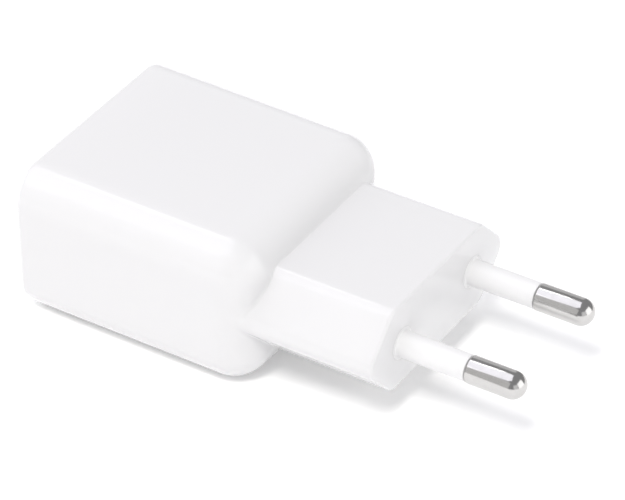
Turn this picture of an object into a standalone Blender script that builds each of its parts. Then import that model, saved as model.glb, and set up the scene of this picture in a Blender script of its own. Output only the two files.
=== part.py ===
"""USB wall charger with a flat two-pin mains plug, for Blender 4.5.

Metres, +Z up. The origin is the middle of the plug's end face, between the pins. +Y runs along
the pins into the wall socket, and +X is to the right seen from the USB end. The charger lies on
its large lower face. The body and the plug are one hollow moulding, open at the USB end, where
a face plate closes it. A circuit board slides along two pairs of rails inside.
"""
import math

import bmesh
import bpy

# Body: a rounded box whose end towards the plug is a long soft shoulder.
BODY_WIDTH = 0.0372
BODY_HEIGHT = 0.0234
BODY_LENGTH = 0.0387
BODY_CORNER_RADIUS = 0.0053
SMALLEST_CORNER = 0.0006
REAR_EDGE_RADIUS = 0.0012
TOP_DRAFT = 0.00065
SHOULDER_LENGTH = 0.0060
SHOULDER_INSET = 0.0070
BODY_WALL = 0.0020
RIM_WALL = 0.0012

# Plug: a flat six-sided block with round corners, as on the standard European two-pin plug.
PLUG_LENGTH = 0.0184
PLUG_WIDTH = 0.0349
PLUG_HEIGHT = 0.0135
PLUG_FLAT_WIDTH = 0.0216
PLUG_CORNER_RADIUS = 0.00247
PLUG_EDGE_RADIUS = 0.0004
PLUG_WALL = 0.0018
PLUG_END_WALL = 0.0026

# Pins: standard 4 mm pins, 19 mm long, with an insulating sleeve behind the bare metal.
PIN_SPACING = 0.0187
PIN_RADIUS = 0.0020
PIN_LENGTH = 0.0190
PIN_METAL_LENGTH = 0.0084
PIN_SHANK_RADIUS = 0.00135
PIN_TAIL_LENGTH = 0.0080
PIN_HEAD_RADIUS = 0.0021
SLEEVE_RADIUS = 0.00192
SLEEVE_BORE_RADIUS = 0.00162
SLEEVE_COLLAR_RADIUS = 0.0024
SLEEVE_COLLAR_DEPTH = 0.0010
SLEEVE_FILLET = 0.0003
PIN_HEAD_LENGTH = 0.0012
PIN_CHAMFER = 0.00015

# Clearance between pieces that touch, and how far a cutter reaches past the face it opens.
GAP = 0.0003
FINE_GAP = 0.00012
CUTTER_REACH = 0.001

# Face plate and USB socket, standard type A.
PLATE_THICKNESS = 0.0020
PLATE_EDGE = 0.0003
COLLAR_LENGTH = 0.0020
COLLAR_MARGIN = (0.0040, 0.0030)
COLLAR_RISE = 0.0018
SOCKET_WIDTH = 0.0131
SOCKET_HEIGHT = 0.0057
SOCKET_DEPTH = 0.0138
SOCKET_SHEET = 0.0003
SOCKET_CORNER_RADIUS = 0.0006
TONGUE_WIDTH = 0.0111
TONGUE_THICKNESS = 0.00184
TONGUE_BOTTOM = 0.0003
TONGUE_LENGTH = 0.0090
TONGUE_RECESS = 0.0014
COMB_LENGTH = 0.0022
CONTACT_PLACES = (-0.0035, -0.0010, 0.0010, 0.0035)
CONTACT_WIDTH = 0.0010
CONTACT_THICKNESS = 0.00025
CONTACT_BOW = 0.00035
FINGER_X = 0.0032
FINGER_WIDTH = 0.0018
FINGER_LENGTH = 0.0050
FINGER_SLIT = 0.0004

# Circuit board.
BOARD_TOP = -0.0031
BOARD_THICKNESS = 0.0012
BOARD_WIDTH = 0.0324
BOARD_TAIL_WIDTH = 0.0204
BOARD_TAIL_END = -0.0050
BOARD_NECK = -0.0262
BOARD_TAPER = 0.0030
RAIL_DEPTH = 0.0014
RAIL_HEIGHT = 0.0012
RAIL_LENGTH = 0.028
RAIL_SETBACK = 0.0015

# Places along Y that the dimensions above set.
PLUG_BACK = -PLUG_LENGTH
BODY_REAR = PLUG_BACK - BODY_LENGTH
BODY_BOTTOM = -BODY_HEIGHT / 2
SOCKET_FRONT = BODY_REAR + GAP
SOCKET_BACK = SOCKET_FRONT + SOCKET_DEPTH
BOARD_BOTTOM = BOARD_TOP - BOARD_THICKNESS
ON_BOARD = BOARD_TOP + GAP
UNDER_BOARD = BOARD_BOTTOM - GAP

CORNER_STEPS = 8
ROUND_SIDES = 32
SMOOTH_ANGLE = math.radians(35)


# ---------------------------------------------------------------- tools

def material(name, color, roughness, metallic=0.0):
    """A Principled material with the piece's own colour."""
    made = bpy.data.materials.get(name) or bpy.data.materials.new(name)
    made.use_nodes = True
    shader = made.node_tree.nodes["Principled BSDF"]
    shader.inputs["Base Color"].default_value = (*color, 1.0)
    shader.inputs["Roughness"].default_value = roughness
    shader.inputs["Metallic"].default_value = metallic
    made.diffuse_color = (*color, 1.0)
    return made


def rounded_outline(centres, radius, steps=CORNER_STEPS):
    """Counter-clockwise outline of straight edges joined by arcs round the given centres."""
    outline = []
    count = len(centres)
    for index, (cx, cy) in enumerate(centres):
        before = centres[index - 1]
        after = centres[(index + 1) % count]
        start = math.atan2(cy - before[1], cx - before[0]) - math.pi / 2
        end = math.atan2(after[1] - cy, after[0] - cx) - math.pi / 2
        turn = (end - start) % (2 * math.pi)
        for step in range(steps + 1):
            angle = start + turn * step / steps
            outline.append((cx + radius * math.cos(angle), cy + radius * math.sin(angle)))
    return outline


def rounded_rectangle(width, height, radius, steps=CORNER_STEPS):
    """Outline of a rectangle with round corners, centred on the origin."""
    x = width / 2 - radius
    y = height / 2 - radius
    return rounded_outline([(x, -y), (x, y), (-x, y), (-x, -y)], radius, steps)


def circle(radius, sides=ROUND_SIDES, centre=(0.0, 0.0)):
    """Outline of a circle."""
    angles = [2 * math.pi * side / sides for side in range(sides)]
    return [(centre[0] + radius * math.cos(a), centre[1] + radius * math.sin(a)) for a in angles]


def across_x(outline, x):
    """The outline's (y, z) points at one X."""
    return [(x, y, z) for y, z in outline]


def across_y(outline, y):
    """The outline's (x, z) points at one Y."""
    return [(x, y, z) for x, z in outline]


def across_z(outline, z):
    """The outline's (x, y) points at one Z."""
    return [(x, y, z) for x, y in outline]


def loft(name, rings, look, hollow=False):
    """A closed body through rings of points; a hollow one runs back through its middle."""
    mesh_tool = bmesh.new()
    loops = [[mesh_tool.verts.new(point) for point in ring] for ring in rings]
    joints = list(zip(loops, loops[1:]))
    if hollow:
        joints.append((loops[-1], loops[0]))
    for first, second in joints:
        for index in range(len(first)):
            after = (index + 1) % len(first)
            mesh_tool.faces.new((first[index], first[after], second[after], second[index]))
    if not hollow:
        mesh_tool.faces.new(loops[0])
        mesh_tool.faces.new(loops[-1])
    bmesh.ops.recalc_face_normals(mesh_tool, faces=mesh_tool.faces)
    mesh = bpy.data.meshes.new(name)
    mesh_tool.to_mesh(mesh)
    mesh_tool.free()
    mesh.shade_smooth()
    mesh.set_sharp_from_angle(angle=SMOOTH_ANGLE)
    made = bpy.data.objects.new(name, mesh)
    if look:
        mesh.materials.append(look)
    bpy.context.scene.collection.objects.link(made)
    return made


def block(name, size, look, bevel=0.0, place=(0.0, 0.0, 0.0)):
    """A block that stands on its location, with softened edges if asked."""
    width, depth, height = size
    x = width / 2
    y = depth / 2
    outline = [(-x, -y), (x, -y), (x, y), (-x, y)]
    made = loft(name, [across_z(outline, 0.0), across_z(outline, height)], look)
    made.location = place
    if bevel:
        soften(made, bevel)
    return made


def turned(name, profile, look, sides=ROUND_SIDES, across=across_z):
    """A solid turned from (radius, place) pairs that run from one end to the other."""
    return loft(name, [across(circle(radius, sides), place) for radius, place in profile], look)


def turned_tube(name, profile, look, sides=ROUND_SIDES, across=across_z):
    """A tube turned from a closed loop of (radius, place) pairs."""
    rings = [across(circle(radius, sides), place) for radius, place in profile]
    return loft(name, rings, look, hollow=True)


def soften(target, width, segments=1):
    """Round the edges of a body."""
    bevel = target.modifiers.new("soft_edges", "BEVEL")
    bevel.width = width
    bevel.segments = segments
    bevel.limit_method = "ANGLE"
    bevel.angle_limit = math.radians(40)


def combine(target, tool, operation):
    """Join a body with a tool body, or cut it with one; the tool itself is hidden."""
    tool.hide_render = True
    tool.display_type = "WIRE"
    step = target.modifiers.new(tool.name, "BOOLEAN")
    step.operation = operation
    step.solver = "EXACT"
    step.object = tool


def cut(target, tool):
    combine(target, tool, "DIFFERENCE")


def join(target, tool):
    combine(target, tool, "UNION")


def arc(start, end, steps):
    """Evenly spaced angles in radians from start to end in degrees."""
    return [math.radians(start + (end - start) * step / steps) for step in range(steps + 1)]


# ---------------------------------------------------------------- housing

def body_ring(y, inset):
    """The body's outline at one place, moved inwards, with its top falling towards the plug."""
    radius = max(BODY_CORNER_RADIUS - inset, SMALLEST_CORNER)
    outline = rounded_rectangle(BODY_WIDTH - 2 * inset, BODY_HEIGHT - 2 * inset, radius)
    fall = TOP_DRAFT * (y - BODY_REAR) / BODY_LENGTH
    ring = []
    for x, z in outline:
        share = (z - BODY_BOTTOM) / BODY_HEIGHT
        ring.append((x, y, z - fall * share))
    return ring


def shoulder_rings(end, wall, steps):
    """Rings of the soft shoulder, from the straight sides to the end, for one skin of the wall."""
    rings = []
    for angle in arc(0, 90, steps):
        inset = wall + SHOULDER_INSET * (1 - math.cos(angle))
        rings.append(body_ring(end - SHOULDER_LENGTH * (1 - math.sin(angle)), inset))
    return rings


def body_solid(look):
    """The body before it is hollowed out."""
    rings = []
    for angle in arc(90, 0, 4):
        inset = REAR_EDGE_RADIUS * (1 - math.cos(angle))
        rings.append(body_ring(BODY_REAR + REAR_EDGE_RADIUS * (1 - math.sin(angle)), inset))
    rings += shoulder_rings(PLUG_BACK, 0.0, 10)
    return loft("housing", rings, look)


def body_hollow():
    """The space inside the body, with a wider seat for the face plate at the rear."""
    ledge = BODY_REAR + PLATE_THICKNESS + GAP
    rings = [body_ring(BODY_REAR - CUTTER_REACH, RIM_WALL), body_ring(ledge, RIM_WALL)]
    rings.append(body_ring(ledge, BODY_WALL))
    rings += shoulder_rings(PLUG_BACK - BODY_WALL, BODY_WALL, 7)
    return loft("body_hollow_cutter", rings, None)


def plug_outline(inset):
    """The plug's six-sided outline, with round corners, moved inwards."""
    x = PLUG_WIDTH / 2 - PLUG_CORNER_RADIUS
    flat = PLUG_FLAT_WIDTH / 2
    z = PLUG_HEIGHT / 2 - PLUG_CORNER_RADIUS
    centres = [(flat, -z), (x, 0.0), (flat, z), (-flat, z), (-x, 0.0), (-flat, -z)]
    return rounded_outline(centres, PLUG_CORNER_RADIUS - inset, 4)


def plug_block():
    """The plug, reaching into the shoulder that it grows out of."""
    root = PLUG_BACK - 2 * BODY_WALL
    rings = [across_y(plug_outline(0.0), root)]
    for angle in arc(0, 90, 3):
        inset = PLUG_EDGE_RADIUS * (1 - math.cos(angle))
        rings.append(across_y(plug_outline(inset), -PLUG_EDGE_RADIUS * (1 - math.sin(angle))))
    return loft("plug_block", rings, None)


def plug_hollow():
    """The space inside the plug, open to the body."""
    outline = plug_outline(PLUG_WALL)
    rings = [across_y(outline, PLUG_BACK - 3 * BODY_WALL), across_y(outline, -PLUG_END_WALL)]
    return loft("plug_hollow_cutter", rings, None)


def rail(side, bottom):
    """One guide rail for the board, grown from a side wall."""
    inner_wall = BODY_WIDTH / 2 - BODY_WALL
    width = RAIL_DEPTH + BODY_WALL / 2
    name = f"rail_{side}_{round(bottom * 1e6)}"
    middle = side * (inner_wall - RAIL_DEPTH + width / 2)
    place = (middle, BODY_REAR + PLATE_THICKNESS + RAIL_SETBACK + RAIL_LENGTH / 2, bottom)
    return block(name, (width, RAIL_LENGTH, RAIL_HEIGHT), None, place=place)


def pin_hole(side):
    """The hole through the plug's end wall for one sleeve, with a wide seat for its collar."""
    seat = -SLEEVE_COLLAR_DEPTH - GAP
    profile = [(SLEEVE_RADIUS + GAP, -PLUG_END_WALL - CUTTER_REACH), (SLEEVE_RADIUS + GAP, seat)]
    profile += [(SLEEVE_COLLAR_RADIUS + GAP, seat), (SLEEVE_COLLAR_RADIUS + GAP, CUTTER_REACH)]
    made = turned(f"pin_hole_{side}", profile, None, across=across_y)
    made.location = (side * PIN_SPACING / 2, 0.0, 0.0)
    return made


def make_housing(look):
    """The body and plug in one moulding, with the board's rails."""
    housing = body_solid(look)
    join(housing, plug_block())
    cut(housing, body_hollow())
    cut(housing, plug_hollow())
    for side in (-1, 1):
        cut(housing, pin_hole(side))
        join(housing, rail(side, BOARD_TOP + GAP))
        join(housing, rail(side, BOARD_BOTTOM - GAP - RAIL_HEIGHT))


def make_face_plate(look):
    """The plate that closes the USB end, with the socket's mouth and a collar round it."""
    inset = RIM_WALL + GAP
    rings = [body_ring(BODY_REAR, inset + PLATE_EDGE), body_ring(BODY_REAR + PLATE_EDGE, inset)]
    rings.append(body_ring(BODY_REAR + PLATE_THICKNESS, inset))
    plate = loft("usb_face_plate", rings, look)
    outline = rounded_rectangle(SOCKET_WIDTH + COLLAR_MARGIN[0], SOCKET_HEIGHT + COLLAR_MARGIN[1], 0.001, 4)
    collar_outline = [(x, max(z + COLLAR_RISE, ON_BOARD)) for x, z in outline]
    collar_back = BODY_REAR + PLATE_THICKNESS + COLLAR_LENGTH
    collar_ends = (BODY_REAR + PLATE_THICKNESS / 2, collar_back)
    join(plate, loft("collar", [across_y(collar_outline, y) for y in collar_ends], None))
    mouth_size = (SOCKET_WIDTH + 2 * GAP, SOCKET_HEIGHT + 2 * GAP)
    mouth_outline = rounded_rectangle(*mouth_size, SOCKET_CORNER_RADIUS + GAP, 4)
    mouth_ends = (BODY_REAR - CUTTER_REACH, collar_back + CUTTER_REACH)
    cut(plate, loft("socket_mouth_cutter", [across_y(mouth_outline, y) for y in mouth_ends], None))


# ---------------------------------------------------------------- pins

def make_pin(name, side, look):
    """A round pin: thin tail and shank, a head behind the end wall, bare metal with a round end."""
    metal_start = PIN_LENGTH - PIN_METAL_LENGTH
    head_front = -PLUG_END_WALL - GAP
    head_back = head_front - PIN_HEAD_LENGTH
    profile = [(0.0008, -PIN_TAIL_LENGTH), (PIN_SHANK_RADIUS, -PIN_TAIL_LENGTH + 0.0005)]
    profile += [(PIN_SHANK_RADIUS, head_back), (PIN_HEAD_RADIUS, head_back), (PIN_HEAD_RADIUS, head_front)]
    profile += [(PIN_SHANK_RADIUS, head_front), (PIN_SHANK_RADIUS, metal_start)]
    profile += [(PIN_RADIUS - PIN_CHAMFER, metal_start), (PIN_RADIUS, metal_start + PIN_CHAMFER)]
    for angle in arc(0, 84, 7):
        reach = PIN_LENGTH - PIN_RADIUS + PIN_RADIUS * math.sin(angle)
        profile.append((PIN_RADIUS * math.cos(angle), reach))
    profile.append((PIN_RADIUS * 0.03, PIN_LENGTH))
    pin = turned(name, profile, look, across=across_y)
    pin.location = (side * PIN_SPACING / 2, 0.0, 0.0)


def make_sleeve(name, side, look):
    """The insulating sleeve, with a collar sunk in the plug's end wall and a fillet above it."""
    end = PIN_LENGTH - PIN_METAL_LENGTH - GAP
    profile = [(SLEEVE_BORE_RADIUS, -PLUG_END_WALL), (SLEEVE_RADIUS, -PLUG_END_WALL)]
    profile += [(SLEEVE_RADIUS, -SLEEVE_COLLAR_DEPTH), (SLEEVE_COLLAR_RADIUS, -SLEEVE_COLLAR_DEPTH)]
    profile.append((SLEEVE_COLLAR_RADIUS, 0.0))
    for angle in arc(0, 90, 3):
        radius = SLEEVE_RADIUS + SLEEVE_FILLET * (1 - math.sin(angle))
        profile.append((radius, SLEEVE_FILLET * (1 - math.cos(angle))))
    profile += [(SLEEVE_RADIUS, end - 0.0001), (SLEEVE_RADIUS - 0.0001, end), (SLEEVE_BORE_RADIUS, end)]
    sleeve = turned_tube(name, profile, look, across=across_y)
    sleeve.location = (side * PIN_SPACING / 2, 0.0, 0.0)


def strip_outline(path, thickness):
    """The outline of a bent strip of even thickness that follows a path."""
    left, right = [], []
    for index, (x, z) in enumerate(path):
        before = path[max(index - 1, 0)]
        after = path[min(index + 1, len(path) - 1)]
        direction = math.atan2(after[1] - before[1], after[0] - before[0])
        nx, nz = -math.sin(direction) * thickness / 2, math.cos(direction) * thickness / 2
        left.append((x + nx, z + nz))
        right.append((x - nx, z - nz))
    return left + right[::-1]


def make_pin_contact(name, side, look):
    """A leaf spring that stands on the board and leans on the side of the pin's tail."""
    lean = PIN_SPACING / 2 - PIN_SHANK_RADIUS - FINE_GAP
    thickness = 0.0004
    foot_height = ON_BOARD + thickness / 2
    path = [(lean - 0.0030, foot_height), (lean - 0.0012, foot_height), (lean - 0.0008, foot_height + 0.0003)]
    path += [(lean - 0.0007, -0.0013), (lean - thickness / 2, 0.0)]
    path += [(lean - 0.0006, 0.0012), (lean - 0.0013, 0.0019)]
    outline = [(side * x, z) for x, z in strip_outline(path, thickness)]
    half_width = 0.0013
    spring = loft(name, [across_y(outline, -half_width), across_y(outline, half_width)], look)
    spring.location = (0.0, -PIN_TAIL_LENGTH + 0.0022, 0.0)


# ---------------------------------------------------------------- USB socket

def make_usb_shell(look):
    """The folded steel shell, with two spring fingers cut in its top and two in its floor."""
    outer = rounded_rectangle(SOCKET_WIDTH, SOCKET_HEIGHT, SOCKET_CORNER_RADIUS, 3)
    inner_radius = SOCKET_CORNER_RADIUS - SOCKET_SHEET
    inner = rounded_rectangle(SOCKET_WIDTH - 2 * SOCKET_SHEET, SOCKET_HEIGHT - 2 * SOCKET_SHEET, inner_radius, 3)
    rings = [across_y(outer, SOCKET_FRONT), across_y(outer, SOCKET_BACK), across_y(inner, SOCKET_BACK)]
    rings.append(across_y(inner, SOCKET_FRONT))
    shell = loft("usb_shell", rings, look, hollow=True)
    height = 3 * SOCKET_SHEET
    middle_y = SOCKET_FRONT + FINGER_LENGTH
    end_y = middle_y + FINGER_LENGTH / 2 - FINGER_SLIT / 4
    end_width = FINGER_WIDTH + 1.9 * FINGER_SLIT
    for level in (-1, 1):
        bottom = level * (SOCKET_HEIGHT - SOCKET_SHEET) / 2 - height / 2
        for side in (-1, 1):
            x = side * FINGER_X
            tag = f"{level}_{side}"
            for edge in (-1, 1):
                place = (x + edge * (FINGER_WIDTH + FINGER_SLIT) / 2, middle_y, bottom)
                cut(shell, block(f"slit_{tag}_{edge}", (FINGER_SLIT, FINGER_LENGTH, height), None, place=place))
            place = (x, end_y, bottom)
            cut(shell, block(f"slit_end_{tag}", (end_width, FINGER_SLIT, height), None, place=place))


def comb_outline():
    """The insulator's rear wall: a block with a slot above each contact's path."""
    half = SOCKET_WIDTH / 2 - SOCKET_SHEET - FINE_GAP
    top = SOCKET_HEIGHT / 2 - SOCKET_SHEET - FINE_GAP
    slot_half = CONTACT_WIDTH / 2 + FINE_GAP
    outline = [(half, -top), (half, top), (-half, top), (-half, -top)]
    for place in CONTACT_PLACES:
        outline += [(place - slot_half, -top), (place - slot_half, TONGUE_BOTTOM)]
        outline += [(place + slot_half, TONGUE_BOTTOM), (place + slot_half, -top)]
    return outline


def make_usb_tongue(look):
    """The insulator: a tongue that carries the contacts, and the wall that holds it."""
    comb_back = SOCKET_BACK - 0.0004
    comb_front = comb_back - COMB_LENGTH
    outline = comb_outline()
    tongue = loft("usb_tongue", [across_y(outline, comb_front), across_y(outline, comb_back)], look)
    tip = SOCKET_FRONT + TONGUE_RECESS
    length = comb_front + 0.0005 - tip
    blade = block("tongue_blade", (TONGUE_WIDTH, length, TONGUE_THICKNESS), None)
    blade.location = (0.0, tip + length / 2, TONGUE_BOTTOM)
    soften(blade, 0.0002)
    join(tongue, blade)


def make_usb_contact(name, x, look):
    """A contact: a springy tip under the tongue, a straight run, and a tail down to the board."""
    level = TONGUE_BOTTOM - FINE_GAP - CONTACT_THICKNESS / 2
    front = SOCKET_FRONT + TONGUE_RECESS + 0.0008
    tail = SOCKET_BACK + 0.0008
    path = [(front, level), (front + 0.0010, level - CONTACT_BOW), (front + 0.0024, level - CONTACT_BOW)]
    path += [(front + 0.0040, level), (tail - 0.0004, level), (tail, level - 0.0004), (tail, ON_BOARD)]
    outline = strip_outline(path, CONTACT_THICKNESS)
    ends = (x - CONTACT_WIDTH / 2, x + CONTACT_WIDTH / 2)
    loft(name, [across_x(outline, end) for end in ends], look)


# ---------------------------------------------------------------- circuit board and its parts

def make_main_board(look):
    """The board: full width in the body, with a tail that reaches into the plug."""
    rear = BODY_REAR + PLATE_THICKNESS + GAP
    taper_end = BOARD_NECK + BOARD_TAPER
    half = BOARD_WIDTH / 2
    tail = BOARD_TAIL_WIDTH / 2
    outline = [(-half, rear), (half, rear), (half, BOARD_NECK), (tail, taper_end), (tail, BOARD_TAIL_END)]
    outline += [(-tail, BOARD_TAIL_END), (-tail, taper_end), (-half, BOARD_NECK)]
    loft("main_board", [across_z(outline, BOARD_BOTTOM), across_z(outline, BOARD_TOP)], look)


def make_capacitor(name, radius, height, place, look):
    """An electrolytic can in its sleeve, with the crimp near its foot and a rolled top edge."""
    crimp = 0.0012
    profile = [(radius - 0.0004, 0.0), (radius, 0.0003), (radius, crimp), (radius - 0.0004, crimp + 0.0004)]
    profile += [(radius, crimp + 0.0008), (radius, height - 0.0004), (radius - 0.0004, height)]
    profile += [(radius - 0.0009, height), (radius - 0.0011, height - 0.0002)]
    can = turned(name, profile, look, sides=28)
    can.location = (*place, ON_BOARD)


def make_choke(place, ferrite, copper):
    """A drum core with its winding in the waist."""
    flange, waist, height, lip = 0.0027, 0.0012, 0.0072, 0.0010
    profile = [(flange, 0.0), (flange, lip), (waist, lip), (waist, height - lip)]
    profile += [(flange, height - lip), (flange, height)]
    core = turned("choke_core", profile, ferrite, sides=24)
    core.location = (*place, ON_BOARD)
    low, high = lip + FINE_GAP, height - lip - FINE_GAP
    inner, outer = waist + FINE_GAP, flange - 0.0003
    section = [(inner, low), (outer, low), (outer, high), (inner, high)]
    coil = turned_tube("choke_winding", section, copper, sides=24)
    coil.location = (*place, ON_BOARD)


def core_outline(half_width, back, leg, centre_half, outer_leg):
    """One E-shaped ferrite half, legs up."""
    window = half_width - outer_leg
    height = back + leg
    outline = [(-half_width, 0.0), (half_width, 0.0), (half_width, height), (window, height), (window, back)]
    outline += [(centre_half, back), (centre_half, height), (-centre_half, height), (-centre_half, back)]
    return outline + [(-window, back), (-window, height), (-half_width, height)]


def make_transformer(place, ferrite, plastic, tape):
    """Two E cores round a bobbin whose winding is wrapped in tape; the coil's axis is upright."""
    half_width, back, leg, centre_half, outer_leg = 0.0067, 0.0022, 0.0031, 0.0014, 0.0016
    depth_half = 0.0030
    low = ON_BOARD + 0.0004
    total = 2 * (back + leg) + FINE_GAP
    outline = core_outline(half_width, back, leg, centre_half, outer_leg)
    flipped = [(x, total - z) for x, z in outline]
    for name, points in (("transformer_core_lower", outline), ("transformer_core_upper", flipped)):
        core = loft(name, [across_y(points, -depth_half), across_y(points, depth_half)], ferrite)
        core.location = (*place, low)
    window_low = back + FINE_GAP
    window_high = total - back - FINE_GAP
    flange = 0.0006
    bore = rounded_rectangle(2 * centre_half + 2 * FINE_GAP, 2 * depth_half + 2 * FINE_GAP, 0.0001, 3)
    tube = rounded_rectangle(2 * centre_half + 0.0014, 2 * depth_half + 0.0014, 0.0006, 3)
    wide = rounded_rectangle(2 * (half_width - outer_leg - FINE_GAP), 2 * depth_half + 0.0064, 0.0010, 3)
    levels = [(wide, window_low), (wide, window_low + flange), (tube, window_low + flange)]
    levels += [(tube, window_high - flange), (wide, window_high - flange), (wide, window_high)]
    levels += [(bore, window_high), (bore, window_low)]
    bobbin = loft("transformer_bobbin", [across_z(ring, z) for ring, z in levels], plastic, hollow=True)
    bobbin.location = (*place, low)
    tube_margin = 0.0014 + 2 * FINE_GAP
    inside = rounded_rectangle(2 * centre_half + tube_margin, 2 * depth_half + tube_margin, 0.0007, 3)
    outside = rounded_rectangle(2 * (half_width - outer_leg) - 0.0008, 2 * depth_half + 0.0056, 0.0016, 3)
    coil_low, coil_high = window_low + flange + FINE_GAP, window_high - flange - FINE_GAP
    rings = [across_z(inside, coil_low), across_z(outside, coil_low)]
    rings += [across_z(outside, coil_high), across_z(inside, coil_high)]
    winding = loft("transformer_winding", rings, tape, hollow=True)
    winding.location = (*place, low)


def make_y_capacitor(place, look):
    """A ceramic disc standing on its edge."""
    radius, half = 0.0038, 0.0017
    profile = [(radius - 0.0010, -half), (radius - 0.0003, -half + 0.0006), (radius, 0.0)]
    profile += [(radius - 0.0003, half - 0.0006), (radius - 0.0010, half)]
    disc = turned("y_capacitor", profile, look, sides=24, across=across_x)
    disc.location = (*place, ON_BOARD + radius)


def make_fuse_resistor(place, look):
    """A round fusible resistor with thicker ends, lying along the plug."""
    end, waist, length = 0.0017, 0.00145, 0.0092
    half = length / 2
    profile = [(end - 0.0004, -half), (end, -half + 0.0004), (end, -half + 0.0018), (waist, -half + 0.0024)]
    profile += [(radius, -y) for radius, y in reversed(profile)]
    resistor = turned("fuse_resistor", profile, look, sides=20, across=across_y)
    resistor.location = (*place, ON_BOARD + end)


def make_optocoupler(place, look):
    """A four-legged optocoupler: a small block with a soft edge."""
    block("optocoupler", (0.0044, 0.0046, 0.0034), look, bevel=0.0003, place=(*place, ON_BOARD))


def chip_outline(width, height, lead_reach, lead_thickness):
    """End view of a chip under the board: a body whose leads bend up to the board."""
    half = width / 2
    mid = -height / 2
    reach = half + lead_reach
    outline = [(-half, -0.0002), (half, -0.0002), (half, mid + lead_thickness)]
    outline += [(reach - lead_reach / 2, mid + lead_thickness), (reach - lead_reach / 2, 0.0), (reach, 0.0)]
    outline += [(reach, mid), (half, mid), (half, -height), (-half, -height), (-half, mid), (-reach, mid)]
    outline += [(-reach, 0.0), (-reach + lead_reach / 2, 0.0), (-reach + lead_reach / 2, mid + lead_thickness)]
    return outline + [(-half, mid + lead_thickness)]


def make_chip(name, size, place, look):
    """A surface-mounted part under the board, with a lead frame along each side."""
    width, depth, height = size
    outline = chip_outline(width, height, 0.0008, 0.0002)
    chip = loft(name, [across_y(outline, -depth / 2), across_y(outline, depth / 2)], look)
    chip.location = (*place, UNDER_BOARD)


def make_barrier(look):
    """The insulating card between the mains side and the USB socket."""
    block("insulating_barrier", (0.0160, 0.0005, 0.0105), look, place=(0.0, SOCKET_BACK + 0.0019, ON_BOARD))


# ---------------------------------------------------------------- assembly

def clear_scene():
    for old in list(bpy.data.objects):
        bpy.data.objects.remove(old, do_unlink=True)


def main():
    clear_scene()
    white = material("white_plastic", (0.86, 0.87, 0.88), 0.30)
    sleeve_white = material("sleeve_plastic", (0.84, 0.85, 0.86), 0.35)
    nickel = material("nickel_plate", (0.72, 0.71, 0.69), 0.16, 1.0)
    steel = material("socket_steel", (0.66, 0.66, 0.67), 0.25, 1.0)
    gold = material("gold_plate", (0.90, 0.68, 0.30), 0.25, 1.0)
    bronze = material("spring_bronze", (0.72, 0.50, 0.30), 0.35, 1.0)
    board_green = material("board_green", (0.05, 0.22, 0.09), 0.45)
    ferrite = material("ferrite", (0.07, 0.07, 0.075), 0.55)
    bobbin_black = material("bobbin_black", (0.02, 0.02, 0.02), 0.45)
    tape_yellow = material("tape_yellow", (0.80, 0.60, 0.08), 0.40)
    copper = material("copper_wire", (0.70, 0.33, 0.16), 0.30, 1.0)
    can_black = material("capacitor_black", (0.03, 0.03, 0.04), 0.40)
    can_green = material("capacitor_green", (0.03, 0.20, 0.12), 0.40)
    ceramic_blue = material("ceramic_blue", (0.06, 0.20, 0.55), 0.35)
    resistor_grey = material("resistor_grey", (0.35, 0.42, 0.40), 0.50)
    chip_black = material("chip_black", (0.02, 0.02, 0.022), 0.50)
    opto_white = material("optocoupler_white", (0.75, 0.75, 0.72), 0.45)
    card_tan = material("insulating_card", (0.62, 0.50, 0.32), 0.60)

    make_housing(white)
    make_face_plate(white)
    for side, word in ((-1, "left"), (1, "right")):
        make_pin(f"pin_{word}", side, nickel)
        make_sleeve(f"pin_sleeve_{word}", side, sleeve_white)
        make_pin_contact(f"pin_contact_{word}", side, bronze)

    make_usb_shell(steel)
    make_usb_tongue(bobbin_black)
    for number, place in enumerate(CONTACT_PLACES, start=1):
        make_usb_contact(f"usb_contact_{number}", place, gold)

    make_main_board(board_green)
    make_transformer((0.0, -0.0345), ferrite, bobbin_black, tape_yellow)
    make_capacitor("input_capacitor_1", 0.0040, 0.0110, (-0.0106, -0.0277), can_black)
    make_capacitor("input_capacitor_2", 0.0040, 0.0110, (0.0106, -0.0277), can_black)
    make_capacitor("output_capacitor_1", 0.00315, 0.0105, (-0.0112, -0.0487), can_green)
    make_capacitor("output_capacitor_2", 0.00315, 0.0105, (0.0112, -0.0487), can_green)
    make_choke((0.0, -0.0240), ferrite, copper)
    make_y_capacitor((0.0105, -0.0375), ceramic_blue)
    make_optocoupler((-0.0108, -0.0370), opto_white)
    make_fuse_resistor((0.0, -0.0130), resistor_grey)
    make_barrier(card_tan)
    make_chip("bridge_rectifier", (0.0040, 0.0047, 0.0024), (-0.0080, -0.0280), chip_black)
    make_chip("controller_chip", (0.0039, 0.0049, 0.0015), (0.0070, -0.0330), chip_black)
    make_chip("output_rectifier", (0.0038, 0.0044, 0.0022), (0.0, -0.0460), chip_black)


main()
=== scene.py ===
"""White USB wall charger lying on a pale floor, in soft studio light. Metres, +Z up.

The charger's frame has its origin in the middle of the plug's end face, +Y along the pins and
+X to the right seen from the USB end. Each visible piece is built here as a smooth, closed
mesh in the place of its CAD node; the pieces sealed inside keep their CAD meshes.
"""
import math

import bmesh
import bpy
import numpy as np
from mathutils import Matrix, Vector


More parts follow.
